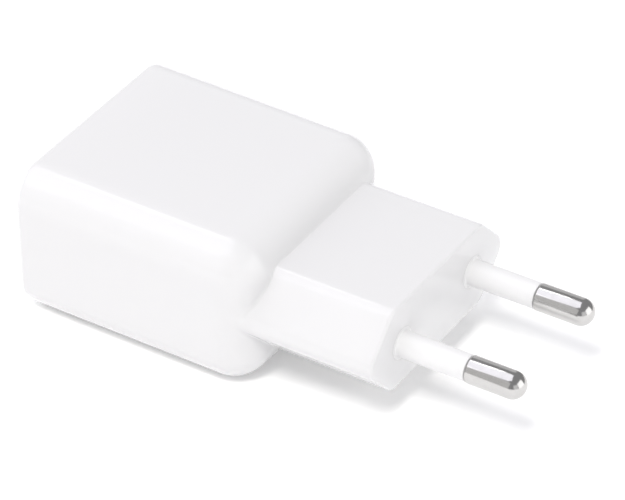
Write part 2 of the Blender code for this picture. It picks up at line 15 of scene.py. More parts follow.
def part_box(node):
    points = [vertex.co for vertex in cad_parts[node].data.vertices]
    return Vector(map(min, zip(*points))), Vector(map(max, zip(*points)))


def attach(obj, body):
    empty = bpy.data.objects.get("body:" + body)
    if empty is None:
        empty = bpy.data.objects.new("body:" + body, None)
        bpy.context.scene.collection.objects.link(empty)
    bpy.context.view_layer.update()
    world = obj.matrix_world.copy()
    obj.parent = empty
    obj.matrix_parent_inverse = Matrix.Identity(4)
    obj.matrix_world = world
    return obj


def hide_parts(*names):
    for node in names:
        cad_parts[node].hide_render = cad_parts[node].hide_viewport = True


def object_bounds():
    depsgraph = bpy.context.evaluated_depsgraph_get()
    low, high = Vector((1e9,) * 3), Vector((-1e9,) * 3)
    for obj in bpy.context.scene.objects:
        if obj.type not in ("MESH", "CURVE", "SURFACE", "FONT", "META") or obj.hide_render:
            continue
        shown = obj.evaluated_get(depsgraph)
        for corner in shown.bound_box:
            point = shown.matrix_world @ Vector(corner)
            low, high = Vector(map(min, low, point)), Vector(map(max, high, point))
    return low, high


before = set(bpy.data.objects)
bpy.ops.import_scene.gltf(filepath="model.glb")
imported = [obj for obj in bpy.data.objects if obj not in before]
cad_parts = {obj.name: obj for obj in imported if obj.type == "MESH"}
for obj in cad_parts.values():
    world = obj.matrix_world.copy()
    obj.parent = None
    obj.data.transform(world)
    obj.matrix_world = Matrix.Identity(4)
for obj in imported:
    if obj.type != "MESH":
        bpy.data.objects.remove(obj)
CAD_LOW, CAD_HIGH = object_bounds()
ROOT = "root"

# ---------------------------------------------------------------- sizes

# Body and plug, read from the frame where it has them.
HOUSING_LOW, HOUSING_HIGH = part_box("housing")
SOCKET_LOW, SOCKET_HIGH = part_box("usb_shell")
TONGUE_LOW, TONGUE_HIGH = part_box("usb_tongue")
PIN_LOW, PIN_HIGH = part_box("pin_right")
BOARD_LOW, BOARD_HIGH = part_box("main_board")
CONTACT_LOW, CONTACT_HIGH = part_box("usb_contact_1")

BODY_REAR = HOUSING_LOW.y
BODY_BOTTOM = HOUSING_LOW.z
BODY_WIDTH = HOUSING_HIGH.x - HOUSING_LOW.x
BODY_HEIGHT = -2 * HOUSING_LOW.z
BODY_LENGTH = 0.0387
PLUG_BACK = BODY_REAR + BODY_LENGTH
BODY_CORNER = 0.0053
SMALLEST_CORNER = 0.0006
REAR_EDGE = 0.0012
TOP_DRAFT = 0.00065
SHOULDER_LENGTH = 0.0060
SHOULDER_INSET = 0.0070
BODY_WALL = 0.0020
RIM_WALL = 0.0012

PLUG_WIDTH = 0.0349
PLUG_HEIGHT = 0.0135
PLUG_FLAT = 0.0216
PLUG_CORNER = 0.00247
PLUG_EDGE = 0.00045
PLUG_WALL = 0.0018
PLUG_END_WALL = 0.0026
RING_STEP = 0.0001
SHOULDER_FILLET = 0.0005

PIN_X = (PIN_LOW.x + PIN_HIGH.x) / 2
PIN_TIP = PIN_HIGH.y
PIN_RADIUS = 0.0020
METAL_START = PIN_TIP - 0.0084
SHANK_RADIUS = 0.00135
SLEEVE_RADIUS = 0.00192
SLEEVE_EDGE = 0.0002
BORE_CLEARANCE = 0.0001
SLEEVE_END_GAP = 0.00012
HEAD_RADIUS = 0.0021
HEAD_LENGTH = 0.0012
METAL_EDGE = 0.00018
COLLAR_RADIUS = 0.0024
COLLAR_DEPTH = 0.0010
SLEEVE_FILLET = 0.0003

SEAM = 0.0001
COLLAR_SEAM = 0.00001
PLATE_THICKNESS = 0.0020
CUTTER_REACH = 0.001

SOCKET_FRONT = SOCKET_LOW.y
SOCKET_BACK = SOCKET_HIGH.y
SOCKET_WIDTH = SOCKET_HIGH.x - SOCKET_LOW.x
SOCKET_HEIGHT = SOCKET_HIGH.z - SOCKET_LOW.z
SOCKET_SHEET = 0.0003
SOCKET_CORNER = 0.0006
FINGER_X = 0.0032
FINGER_WIDTH = 0.0018
FINGER_SLIT = 0.0004
FINGER_START = SOCKET_FRONT + 0.0025
FINGER_LENGTH = 0.0051
FINGER_DIP = {1: 0.00022, -1: 0.00045}
TONGUE_WIDTH = 0.0111
TONGUE_THICKNESS = 0.00184
TONGUE_BOTTOM = 0.0003
COMB_BACK = TONGUE_HIGH.y
COMB_FRONT = COMB_BACK - 0.0022
CONTACT_PLACES = (-0.0035, -0.0010, 0.0010, 0.0035)
CONTACT_WIDTH = 0.0010
CONTACT_THICKNESS = 0.00022
CONTACT_LEVEL = 0.000055
CONTACT_BOW_LENGTH = 0.0042
CONTACT_BOW_DEPTH = 0.00036
CONTACT_BEND = 0.0006
SOCKET_CLEARANCE = 0.00012
GROOVE_DEPTH = 0.00012
GROOVE_CLEARANCE = 0.0001
TONGUE_CHAMFER = 0.00028
TONGUE_ROOT = 0.0005

BOARD_GAP = 0.0003
RAIL_DEPTH = 0.0014
RAIL_HEIGHT = 0.0012
RAIL_LENGTH = 0.028
RAIL_SETBACK = 0.0015

FLOOR_Z = CAD_LOW.z
SMOOTH_ANGLE = math.radians(32)
ROUND_SIDES = 96


# ---------------------------------------------------------------- mesh tools

def finish_mesh(name, mesh_tool, look, slot):
    """Turns a bmesh into a shaded object that rides on the frame."""
    bmesh.ops.recalc_face_normals(mesh_tool, faces=mesh_tool.faces)
    mesh = bpy.data.meshes.new(name)
    mesh_tool.to_mesh(mesh)
    mesh_tool.free()
    mesh.shade_smooth()
    mesh.set_sharp_from_angle(angle=SMOOTH_ANGLE)
    piece = bpy.data.objects.new(name, mesh)
    bpy.context.scene.collection.objects.link(piece)
    if look:
        mesh.materials.append(look)
    if slot:
        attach(piece, ROOT)
    return piece


def loft(name, rings, look=None, slot=None, hollow=False):
    """A closed body through rings of points; a hollow one runs back through its middle."""
    mesh_tool = bmesh.new()
    loops = [[mesh_tool.verts.new(point) for point in ring] for ring in rings]
    steps = list(zip(loops, loops[1:]))
    if hollow:
        steps.append((loops[-1], loops[0]))
    for first, second in steps:
        for index in range(len(first)):
            after = (index + 1) % len(first)
            mesh_tool.faces.new((first[index], first[after], second[after], second[index]))
    if not hollow:
        mesh_tool.faces.new(loops[0])
        mesh_tool.faces.new(loops[-1])
    return finish_mesh(name, mesh_tool, look, slot)


def combine(piece, tool, operation):
    """Joins or cuts a piece with a tool body, applies the step and removes the tool."""
    step = piece.modifiers.new("combine", "BOOLEAN")
    step.operation = operation
    step.solver = "EXACT"
    step.object = tool
    depsgraph = bpy.context.evaluated_depsgraph_get()
    mesh = bpy.data.meshes.new_from_object(piece.evaluated_get(depsgraph), depsgraph=depsgraph)
    piece.modifiers.clear()
    old = piece.data
    piece.data = mesh
    bpy.data.meshes.remove(old)
    mesh.name = piece.name
    bpy.data.objects.remove(tool)
    mesh.shade_smooth()
    mesh.set_sharp_from_angle(angle=SMOOTH_ANGLE)


def cut(piece, tool):
    """Takes a tool body out of a piece."""
    combine(piece, tool, "DIFFERENCE")


def join(piece, tool):
    """Adds a tool body to a piece."""
    combine(piece, tool, "UNION")


def block(name, low, high):
    """A square block between two corners."""
    (x0, y0, z0), (x1, y1, z1) = low, high
    outline = [(x0, y0), (x1, y0), (x1, y1), (x0, y1)]
    return loft(name, [across_z(outline, z0), across_z(outline, z1)])


def arc(start, end, steps):
    """Evenly spaced angles in radians from start to end in degrees."""
    return [math.radians(start + (end - start) * step / steps) for step in range(steps + 1)]


def rounded_outline(centres, radius, steps=12):
    """Counter-clockwise outline of straight edges joined by arcs round the given centres."""
    outline = []
    count = len(centres)
    for index, (cx, cy) in enumerate(centres):
        before = centres[index - 1]
        after = centres[(index + 1) % count]
        start = math.atan2(cy - before[1], cx - before[0]) - math.pi / 2
        end = math.atan2(after[1] - cy, after[0] - cx) - math.pi / 2
        turn = (end - start) % (2 * math.pi)
        for step in range(steps + 1):
            angle = start + turn * step / steps
            outline.append((cx + radius * math.cos(angle), cy + radius * math.sin(angle)))
    return outline


def rounded_rectangle(width, height, radius, steps=12):
    """Outline of a rectangle with round corners, centred on the origin."""
    x = width / 2 - radius
    y = height / 2 - radius
    return rounded_outline([(x, -y), (x, y), (-x, y), (-x, -y)], radius, steps)


def across_y(outline, y):
    """The outline's (x, z) points at one Y."""
    return [(x, y, z) for x, z in outline]


def across_z(outline, z):
    """The outline's (x, y) points at one Z."""
    return [(x, y, z) for x, y in outline]


def circle(radius, x):
    """Outline of a circle whose middle is at one X."""
    angles = [2 * math.pi * side / ROUND_SIDES for side in range(ROUND_SIDES)]
    return [(x + radius * math.cos(angle), radius * math.sin(angle)) for angle in angles]


# ---------------------------------------------------------------- material tools

class Nodes:
    """A Principled material under construction, with its texture coordinates in millimetres."""

    def __init__(self, name, color, roughness, metallic=0.0):
        self.material = bpy.data.materials.new(name)
        self.material.use_nodes = True
        self.tree = self.material.node_tree
        self.shader = self.tree.nodes["Principled BSDF"]
        self.shader.inputs["Base Color"].default_value = (*color, 1.0)
        self.shader.inputs["Roughness"].default_value = roughness
        self.shader.inputs["Metallic"].default_value = metallic
        self.material.diffuse_color = (*color, 1.0)
        place = self.add("ShaderNodeTexCoord")
        scale = self.add("ShaderNodeVectorMath", operation="SCALE")
        self.link(place.outputs["Object"], scale.inputs[0])
        scale.inputs["Scale"].default_value = 1000.0
        self.place = scale.outputs["Vector"]

    def add(self, kind, **settings):
        """A new node, with its own settings."""
        node = self.tree.nodes.new(kind)
        for key, value in settings.items():
            setattr(node, key, value)
        return node

    def link(self, output, target):
        self.tree.links.new(output, target)

    def stretched(self, scale):
        """The place in millimetres, scaled by a vector."""
        node = self.add("ShaderNodeVectorMath", operation="MULTIPLY")
        self.link(self.place, node.inputs[0])
        node.inputs[1].default_value = scale
        return node.outputs["Vector"]

    def noise(self, scale, detail=2.0, roughness=0.5, place=None):
        """Noise with this many features to the millimetre."""
        node = self.add("ShaderNodeTexNoise")
        node.inputs["Scale"].default_value = scale
        node.inputs["Detail"].default_value = detail
        node.inputs["Roughness"].default_value = roughness
        self.link(place or self.place, node.inputs["Vector"])
        return node.outputs["Fac"]

    def remap(self, value, low, high, to_low, to_high):
        """A value moved from one range to another."""
        node = self.add("ShaderNodeMapRange")
        node.inputs["From Min"].default_value = low
        node.inputs["From Max"].default_value = high
        node.inputs["To Min"].default_value = to_low
        node.inputs["To Max"].default_value = to_high
        self.link(value, node.inputs["Value"])
        return node.outputs["Result"]

    def ramp(self, value, stops):
        """Colours at places from 0 to 1."""
        node = self.add("ShaderNodeValToRGB")
        elements = node.color_ramp.elements
        while len(elements) < len(stops):
            elements.new(0.5)
        for element, (place, color) in zip(elements, stops):
            element.position = place
            element.color = (*color, 1.0)
        self.link(value, node.inputs["Fac"])
        return node.outputs["Color"]

    def bump(self, height, strength, distance):
        """Adds relief; distance is in metres, and stacks on relief that is there already."""
        node = self.add("ShaderNodeBump")
        node.inputs["Strength"].default_value = strength
        node.inputs["Distance"].default_value = distance
        self.link(height, node.inputs["Height"])
        if self.shader.inputs["Normal"].is_linked:
            self.link(self.shader.inputs["Normal"].links[0].from_socket, node.inputs["Normal"])
        self.link(node.outputs["Normal"], self.shader.inputs["Normal"])

    def color_from(self, output):
        self.link(output, self.shader.inputs["Base Color"])

    def roughness_from(self, output):
        self.link(output, self.shader.inputs["Roughness"])

    def set(self, **values):
        """Values on the shader's own sockets."""
        for key, value in values.items():
            self.shader.inputs[key.replace("_", " ")].default_value = value


def moulded_plastic(name, color, roughness, variation=0.003, grain=1.6, depth=0.0000012):
    """Smooth moulded plastic: faint slow drifts of tone and gloss, and a very fine relief."""
    made = Nodes(name, color, roughness)
    dark = tuple(c * (1 - variation) for c in color)
    light = tuple(min(c * (1 + variation), 1.0) for c in color)
    made.color_from(made.ramp(made.noise(0.05, 1.0), [(0.0, dark), (1.0, light)]))
    spread = 0.06 * roughness
    made.roughness_from(made.remap(made.noise(0.12, 1.0), 0.0, 1.0, roughness - spread, roughness + spread))
    made.bump(made.noise(grain, 1.0, 0.5), 0.1, depth)
    made.set(IOR=1.49)
    return made.material


# ---------------------------------------------------------------- materials

def nickel_plate():
    """Bright plated pin: fine scratches along the pin and a faint haze."""
    made = Nodes("nickel_plate", (0.56, 0.553, 0.543), 0.16, 1.0)
    scratches = made.noise(3.0, 4.0, 0.7, made.stretched((9.0, 0.35, 9.0)))
    haze = made.noise(0.7, 3.0)
    made.roughness_from(made.remap(scratches, 0.35, 0.7, 0.13, 0.20))
    made.color_from(made.ramp(haze, [(0.3, (0.54, 0.533, 0.522)), (0.7, (0.585, 0.578, 0.567))]))
    made.bump(scratches, 0.12, 0.000006)
    return made.material


def brushed_metal(name, color, roughness, grain=(6.0, 0.4, 6.0)):
    """Rolled or plated sheet: fine parallel marks and a slow drift of tone."""
    made = Nodes(name, color, roughness, 1.0)
    marks = made.noise(2.0, 4.0, 0.6, made.stretched(grain))
    dark = tuple(c * 0.94 for c in color)
    light = tuple(min(c * 1.05, 1.0) for c in color)
    made.color_from(made.ramp(made.noise(0.4, 2.0), [(0.2, dark), (0.8, light)]))
    made.roughness_from(made.remap(marks, 0.3, 0.7, roughness * 0.8, roughness * 1.25))
    made.bump(marks, 0.1, 0.000004)
    return made.material


def speckled(name, colors, roughness, scale, depth=0.00001):
    """Fired or pressed stuff: fine specks between colours, with a matching relief."""
    made = Nodes(name, colors[0], roughness)
    specks = made.noise(scale, 5.0, 0.65)
    stops = [(0.3 + 0.4 * index / (len(colors) - 1), color) for index, color in enumerate(colors)]
    made.color_from(made.ramp(specks, stops))
    made.roughness_from(made.remap(specks, 0.3, 0.7, roughness * 0.85, min(roughness * 1.15, 1.0)))
    made.bump(specks, 0.25, depth)
    return made.material


def banded(name, dark, light, roughness, metallic, per_mm, depth):
    """Stuff wound in level turns: bands along Z with a rounded relief, and painted shade in the grooves
    between turns.
    """
    made = Nodes(name, light, roughness, metallic)
    wave = made.add("ShaderNodeTexWave", bands_direction="Z")
    wave.inputs["Scale"].default_value = per_mm
    wave.inputs["Distortion"].default_value = 0.4
    wave.inputs["Detail"].default_value = 1.0
    made.link(made.place, wave.inputs["Vector"])
    turns = wave.outputs["Fac"]
    # Painted shade: the dark colour lies in the grooves of the relief between turns.
    made.color_from(made.ramp(turns, [(0.0, dark), (0.45, light)]))
    made.roughness_from(made.remap(made.noise(1.5, 2.0), 0.3, 0.7, roughness * 0.85, roughness * 1.2))
    made.bump(turns, 0.6, depth)
    return made.material


def circuit_board():
    """Solder mask over fibreglass, with paler copper tracks showing through and a fine weave."""
    made = Nodes("board_green", (0.03, 0.17, 0.07), 0.35)
    tracks = made.add("ShaderNodeTexBrick")
    tracks.inputs["Scale"].default_value = 0.35
    tracks.inputs["Mortar Size"].default_value = 0.16
    tracks.inputs["Mortar Smooth"].default_value = 0.1
    made.link(made.place, tracks.inputs["Vector"])
    mask = tracks.outputs["Fac"]
    made.color_from(made.ramp(mask, [(0.0, (0.022, 0.135, 0.055)), (1.0, (0.05, 0.24, 0.10))]))
    weave = made.noise(4.0, 2.0)
    made.roughness_from(made.remap(weave, 0.3, 0.7, 0.30, 0.42))
    made.bump(mask, 0.4, 0.00003)
    return made.material


def two_part(name, body, body_roughness, metal, axis, centre, half):
    """A part whose metal shows beyond a distance from its middle along one axis, in millimetres."""
    made = Nodes(name, body, body_roughness)
    split = made.add("ShaderNodeSeparateXYZ")
    made.link(made.place, split.inputs["Vector"])
    offset = made.add("ShaderNodeMath", operation="SUBTRACT")
    made.link(split.outputs[axis], offset.inputs[0])
    offset.inputs[1].default_value = centre
    size = made.add("ShaderNodeMath", operation="ABSOLUTE")
    made.link(offset.outputs["Value"], size.inputs[0])
    mask = made.remap(size.outputs["Value"], half, half + 0.02, 0.0, 1.0)
    made.color_from(made.ramp(mask, [(0.0, body), (1.0, metal)]))
    made.link(mask, made.shader.inputs["Metallic"])
    grain = made.noise(5.0, 4.0, 0.6)
    made.roughness_from(made.remap(grain, 0.3, 0.7, body_roughness * 0.85, body_roughness * 1.15))
    made.bump(grain, 0.2, 0.000008)
    return made.material


def card_stock():
    """Pressed fibre card: long faint fibres."""
    made = Nodes("insulating_card", (0.62, 0.50, 0.32), 0.65)
    fibres = made.noise(1.2, 5.0, 0.6, made.stretched((0.4, 3.0, 3.0)))
    made.color_from(made.ramp(fibres, [(0.3, (0.55, 0.43, 0.27)), (0.7, (0.68, 0.56, 0.37))]))
    made.bump(fibres, 0.3, 0.00002)
    return made.material


WHITE = moulded_plastic("white_plastic", (0.70, 0.698, 0.703), 0.15)
SLEEVE_WHITE = moulded_plastic("sleeve_plastic", (0.76, 0.758, 0.76), 0.30, grain=3.0)
BLACK_PLASTIC = moulded_plastic("bobbin_black", (0.02, 0.02, 0.021), 0.38, 0.15, 3.0, 0.00001)
NICKEL = nickel_plate()
STEEL = brushed_metal("socket_steel", (0.62, 0.62, 0.63), 0.24)
GOLD = brushed_metal("gold_plate", (0.88, 0.66, 0.30), 0.20)
BRONZE = brushed_metal("spring_bronze", (0.70, 0.48, 0.29), 0.30, (6.0, 6.0, 0.5))


# ---------------------------------------------------------------- housing

QUADRANT_CORNER = 45
QUADRANT_FINE = 36
QUADRANT_COARSE = 10
OUTLINE_SAMPLES = 240


def ring_angles():
    """Angles round a ring, closest together over the wide top and bottom corners."""
    quadrant = arc(0, QUADRANT_CORNER, QUADRANT_FINE)[:-1] + arc(QUADRANT_CORNER, 90, QUADRANT_COARSE)[:-1]
    angles = []
    for turn in (0.0, math.pi):
        angles += [turn + angle for angle in quadrant + [math.pi / 2]]
        angles += [turn + math.pi - angle for angle in reversed(quadrant[1:])]
    return angles


RING_ANGLES = ring_angles()


def body_outline(y, inset):
    """The body's outline at one place, moved inwards, with its top falling towards the plug."""
    radius = max(BODY_CORNER - inset, SMALLEST_CORNER)
    outline = rounded_rectangle(BODY_WIDTH - 2 * inset, BODY_HEIGHT - 2 * inset, radius)
    fall = TOP_DRAFT * (y - BODY_REAR) / BODY_LENGTH
    return [(x, z - fall * (z - BODY_BOTTOM) / BODY_HEIGHT) for x, z in outline]


def plug_outline(inset):
    """The plug's six-sided outline, with round corners, moved inwards."""
    x = PLUG_WIDTH / 2 - PLUG_CORNER
    flat = PLUG_FLAT / 2
    z = PLUG_HEIGHT / 2 - PLUG_CORNER
    centres = [(flat, -z), (x, 0.0), (flat, z), (-flat, z), (-x, 0.0), (-flat, -z)]
    return rounded_outline(centres, PLUG_CORNER - inset)


def reach(outline):
    """How far an outline lies from the middle, at each of the ring's angles."""
    closed = np.array(outline + outline[:1])
    fine = np.linspace(0, len(outline), len(outline) * OUTLINE_SAMPLES)
    whole = np.arange(len(closed))
    x = np.interp(fine, whole, closed[:, 0])
    z = np.interp(fine, whole, closed[:, 1])
    return np.interp(RING_ANGLES, np.arctan2(z, x), np.hypot(x, z), period=2 * math.pi)


def blended(first, second, width):
    """The larger of two reaches, with a soft hollow where they cross."""
    near = np.clip(width - np.abs(first - second), 0, None) / width
    return np.maximum(first, second) + near * near * width / 4


def ring(reaches, y):
    """Ring points at one place from a reach at each angle."""
    return [(r * math.cos(a), y, r * math.sin(a)) for a, r in zip(RING_ANGLES, reaches)]


def outer_rings():
    """The outer skin from the rim at the USB end to the plug's end face."""
    plug = reach(plug_outline(0.0))
    rings = []
    for angle in arc(90, 0, 8):
        y = BODY_REAR + REAR_EDGE * (1 - math.sin(angle))
        rings.append(ring(reach(body_outline(y, REAR_EDGE * (1 - math.cos(angle)))), y))
    straight_end = PLUG_BACK - SHOULDER_LENGTH
    for share in (0.25, 0.5, 0.75):
        y = BODY_REAR + REAR_EDGE + share * (straight_end - BODY_REAR - REAR_EDGE)
        rings.append(ring(reach(body_outline(y, 0.0)), y))
    for angle in arc(0, 89, 40):
        y = PLUG_BACK - SHOULDER_LENGTH * (1 - math.sin(angle))
        body = reach(body_outline(y, SHOULDER_INSET * (1 - math.cos(angle))))
        rings.append(ring(blended(body, plug, SHOULDER_FILLET), y))
    for share in (0.02, 0.05, 0.1, 0.25, 0.5, 0.75):
        rings.append(ring(plug, PLUG_BACK * (1 - share)))
    for angle in arc(0, 90, 5):
        outline = plug_outline(PLUG_EDGE * (1 - math.cos(angle)))
        rings.append(ring(reach(outline), -PLUG_EDGE * (1 - math.sin(angle))))
    return rings


def inner_rings():
    """The inner skin from the plug's end wall back to the rim at the USB end."""
    plug = reach(plug_outline(PLUG_WALL))
    seat = BODY_REAR + PLATE_THICKNESS + SEAM
    rings = [ring(plug, -PLUG_END_WALL), ring(plug, PLUG_BACK - BODY_WALL + RING_STEP)]
    for angle in arc(88, 0, 10):
        y = PLUG_BACK - BODY_WALL - SHOULDER_LENGTH * (1 - math.sin(angle))
        body = reach(body_outline(y, BODY_WALL + SHOULDER_INSET * (1 - math.cos(angle))))
        rings.append(ring(np.maximum(body, plug), y))
    rings.append(ring(reach(body_outline(seat, BODY_WALL)), seat))
    rings.append(ring(reach(body_outline(seat, RIM_WALL)), seat))
    rim = reach(body_outline(BODY_REAR, RIM_WALL))
    rings.append(ring(rim, BODY_REAR + 2 * RING_STEP))
    rings.append(ring(rim, BODY_REAR + RING_STEP))
    return rings


def pin_hole(side):
    """The seat and hole for one sleeve in the plug's end wall."""
    seat = -COLLAR_DEPTH - SEAM
    profile = [(SLEEVE_RADIUS + SEAM, -PLUG_END_WALL - CUTTER_REACH), (SLEEVE_RADIUS + SEAM, seat)]
    profile += [(COLLAR_RADIUS + COLLAR_SEAM, seat), (COLLAR_RADIUS + COLLAR_SEAM, CUTTER_REACH)]
    rings = [across_y(circle(radius, side * PIN_X), y) for radius, y in profile]
    return loft(f"pin_hole_{side}", rings)


def rail(side, bottom):
    """One guide rail for the board, grown from a side wall."""
    wall = BODY_WIDTH / 2 - BODY_WALL
    start = BODY_REAR + PLATE_THICKNESS + RAIL_SETBACK
    inner, outer = sorted((side * (wall - RAIL_DEPTH), side * (wall + BODY_WALL / 2)))
    low = (inner, start, bottom)
    high = (outer, start + RAIL_LENGTH, bottom + RAIL_HEIGHT)
    return block(f"rail_{side}", low, high)


def make_housing():
    """The body and plug in one hollow moulding, with its sleeve seats and board rails."""
    housing = loft("housing_moulding", inner_rings() + outer_rings(), WHITE, "white_plastic")
    for side in (-1, 1):
        cut(housing, pin_hole(side))
        join(housing, rail(side, BOARD_HIGH.z + BOARD_GAP))
        join(housing, rail(side, BOARD_LOW.z - BOARD_GAP - RAIL_HEIGHT))
    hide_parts("housing")


make_housing()


# ---------------------------------------------------------------- face plate

PLATE_EDGE = 0.0004
MOUTH_GAP = 0.00015
MOUTH_CHAMFER = 0.0003
MOUTH_LENGTH = 0.006
COLLAR_MARGIN = (0.0040, 0.0030)
COLLAR_RISE = 0.0018
COLLAR_CORNER = 0.0010
COLLAR_START = 0.0010
COLLAR_LENGTH = 0.0020


def collar():
    """The sleeve behind the plate that steadies the socket."""
    width = SOCKET_WIDTH + COLLAR_MARGIN[0]
    height = SOCKET_HEIGHT + COLLAR_MARGIN[1]
    floor = BOARD_HIGH.z + BOARD_GAP
    whole = rounded_rectangle(width, height, COLLAR_CORNER)
    outline = [(x, max(z + COLLAR_RISE, floor)) for x, z in whole]
    ends = (BODY_REAR + COLLAR_START, BODY_REAR + PLATE_THICKNESS + COLLAR_LENGTH)
    return loft("collar", [across_y(outline, y) for y in ends])


def mouth(edge):
    """The socket's opening in the plate, a little wider at the front than behind."""
    rings = []
    for y, wider in ((-CUTTER_REACH, CUTTER_REACH + edge), (edge, 0.0), (MOUTH_LENGTH, 0.0)):
        grow = MOUTH_GAP + wider
        width = SOCKET_WIDTH + 2 * grow
        height = SOCKET_HEIGHT + 2 * grow
        outline = rounded_rectangle(width, height, SOCKET_CORNER + grow)
        rings.append(across_y(outline, BODY_REAR + y))
    return loft("mouth", rings)


def make_face_plate():
    """The plate in the rim, with soft edges, a collar behind and the socket's mouth."""
    inset = RIM_WALL + SEAM
    rings = []
    for angle in arc(90, 0, 6):
        y = BODY_REAR + PLATE_EDGE * (1 - math.sin(angle))
        outline = body_outline(BODY_REAR, inset + PLATE_EDGE * (1 - math.cos(angle)))
        rings.append(across_y(outline, y))
    rings.append(across_y(body_outline(BODY_REAR, inset), BODY_REAR + PLATE_THICKNESS))
    plate = loft("face_plate", rings, WHITE, "white_plastic")
    join(plate, collar())
    cut(plate, mouth(MOUTH_CHAMFER))
    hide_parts("usb_face_plate")


make_face_plate()


# ---------------------------------------------------------------- USB socket

def shell_outline(inset):
    """Outline of the shell's skin, with extra points across each spring finger."""
    steps = 6
    radius = SOCKET_CORNER - inset
    outline = rounded_rectangle(SOCKET_WIDTH - 2 * inset, SOCKET_HEIGHT - 2 * inset, radius, steps)
    half = SOCKET_HEIGHT / 2 - inset
    places = [side * FINGER_X + shift * FINGER_WIDTH / 2 for side in (-1, 1) for shift in (-1, 0, 1)]
    right = 2 * (steps + 1)
    top = [(x, half) for x in reversed(places)]
    return outline[:right] + top + outline[right:] + [(x, -half) for x in places]


def finger_slot(side, level):
    """The U-shaped slot that frees one spring finger."""
    inner = FINGER_WIDTH / 2
    outer = inner + FINGER_SLIT
    end = FINGER_START + FINGER_LENGTH
    tip = end - FINGER_SLIT
    outline = [(-outer, FINGER_START), (-outer, end), (outer, end), (outer, FINGER_START)]
    outline += [(inner, FINGER_START), (inner, tip), (-inner, tip), (-inner, FINGER_START)]
    outline = [(side * FINGER_X + x, y) for x, y in outline]
    middle = level * (SOCKET_HEIGHT - SOCKET_SHEET) / 2
    reach_through = CUTTER_REACH / 2
    levels = (middle - reach_through, middle + reach_through)
    return loft("finger_slot", [across_z(outline, z) for z in levels])


def bend_fingers(shell):
    """Bows each spring finger towards the middle of the socket."""
    length = FINGER_LENGTH - FINGER_SLIT
    skin = SOCKET_HEIGHT / 2 - SOCKET_SHEET - 0.00001
    for vertex in shell.data.vertices:
        x, y, z = vertex.co
        share = (y - FINGER_START) / length
        on_finger = abs(abs(x) - FINGER_X) < FINGER_WIDTH / 2 + 0.00001
        if on_finger and 0.0 < share < 1.001 and abs(z) > skin:
            level = 1 if z > 0 else -1
            dip = FINGER_DIP[level] * math.sin(0.78 * math.pi * share) ** 1.5
            vertex.co.z = z - level * dip


def make_usb_shell():
    """The folded steel shell, with two bowed spring fingers above and two below."""
    lip = SOCKET_SHEET / 3
    along = [SOCKET_FRONT + 3 * lip]
    along += list(np.linspace(FINGER_START, FINGER_START + FINGER_LENGTH, 25))
    along.append(SOCKET_BACK)
    rings = [across_y(shell_outline(SOCKET_SHEET), y) for y in reversed(along)]
    rings.append(across_y(shell_outline(SOCKET_SHEET - lip), SOCKET_FRONT + lip / 3))
    rings.append(across_y(shell_outline(SOCKET_SHEET - 2 * lip), SOCKET_FRONT))
    rings.append(across_y(shell_outline(0.0), SOCKET_FRONT + lip / 2))
    rings += [across_y(shell_outline(0.0), y) for y in along]
    shell = loft("socket_shell", rings, STEEL, "socket_steel", hollow=True)
    for level in (-1, 1):
        for side in (-1, 1):
            cut(shell, finger_slot(side, level))
    bend_fingers(shell)
    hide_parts("usb_shell")


def tongue_outline(shrink):
    """End view of the tongue, with a groove over each contact."""
    half = TONGUE_WIDTH / 2 - shrink
    bottom = TONGUE_BOTTOM + shrink
    top = TONGUE_BOTTOM + TONGUE_THICKNESS - shrink
    groove_half = CONTACT_WIDTH / 2 + GROOVE_CLEARANCE
    groove = TONGUE_BOTTOM + max(GROOVE_DEPTH, shrink + 0.00002)
    outline = [(half, bottom), (half, top), (-half, top), (-half, bottom)]
    for place in CONTACT_PLACES:
        outline += [(place - groove_half, bottom), (place - groove_half, groove)]
        outline += [(place + groove_half, groove), (place + groove_half, bottom)]
    return outline


def comb_outline():
    """End view of the insulator's rear wall: a block with a slot for each contact."""
    clearance = SOCKET_SHEET + SOCKET_CLEARANCE
    half = SOCKET_WIDTH / 2 - clearance
    top = SOCKET_HEIGHT / 2 - clearance
    slot_half = CONTACT_WIDTH / 2 + SOCKET_CLEARANCE
    outline = [(half, -top), (half, top), (-half, top), (-half, -top)]
    for place in CONTACT_PLACES:
        outline += [(place - slot_half, -top), (place - slot_half, TONGUE_BOTTOM)]
        outline += [(place + slot_half, TONGUE_BOTTOM), (place + slot_half, -top)]
    return outline


def make_usb_tongue():
    """The insulator: a grooved tongue with a chamfered tip, and the wall that holds it."""
    tip = TONGUE_LOW.y
    chamfer = TONGUE_CHAMFER
    places = [(tip, chamfer), (tip + chamfer / 3, chamfer / 2), (tip + chamfer, 0.0)]
    places.append((COMB_FRONT + TONGUE_ROOT, 0.0))
    rings = [across_y(tongue_outline(shrink), y) for y, shrink in places]
    tongue = loft("socket_tongue", rings, BLACK_PLASTIC, "bobbin_black")
    join(tongue, loft("comb", [across_y(comb_outline(), y) for y in (COMB_FRONT, COMB_BACK)]))
    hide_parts("usb_tongue")


def contact_path():
    """Side view of a contact: a sprung bow under the tongue, a straight run, a bend and a tail."""
    path = []
    for share in np.linspace(0.0, 1.0, 25):
        dip = CONTACT_BOW_DEPTH * math.sin(math.pi * share) ** 2
        path.append((CONTACT_LOW.y + share * CONTACT_BOW_LENGTH, CONTACT_LEVEL - dip))
    middle_y = CONTACT_HIGH.y - CONTACT_THICKNESS / 2 - CONTACT_BEND
    middle_z = CONTACT_LEVEL - CONTACT_BEND
    for angle in arc(90, 0, 8):
        y = middle_y + CONTACT_BEND * math.cos(angle)
        path.append((y, middle_z + CONTACT_BEND * math.sin(angle)))
    path.append((middle_y + CONTACT_BEND, CONTACT_LOW.z))
    return path


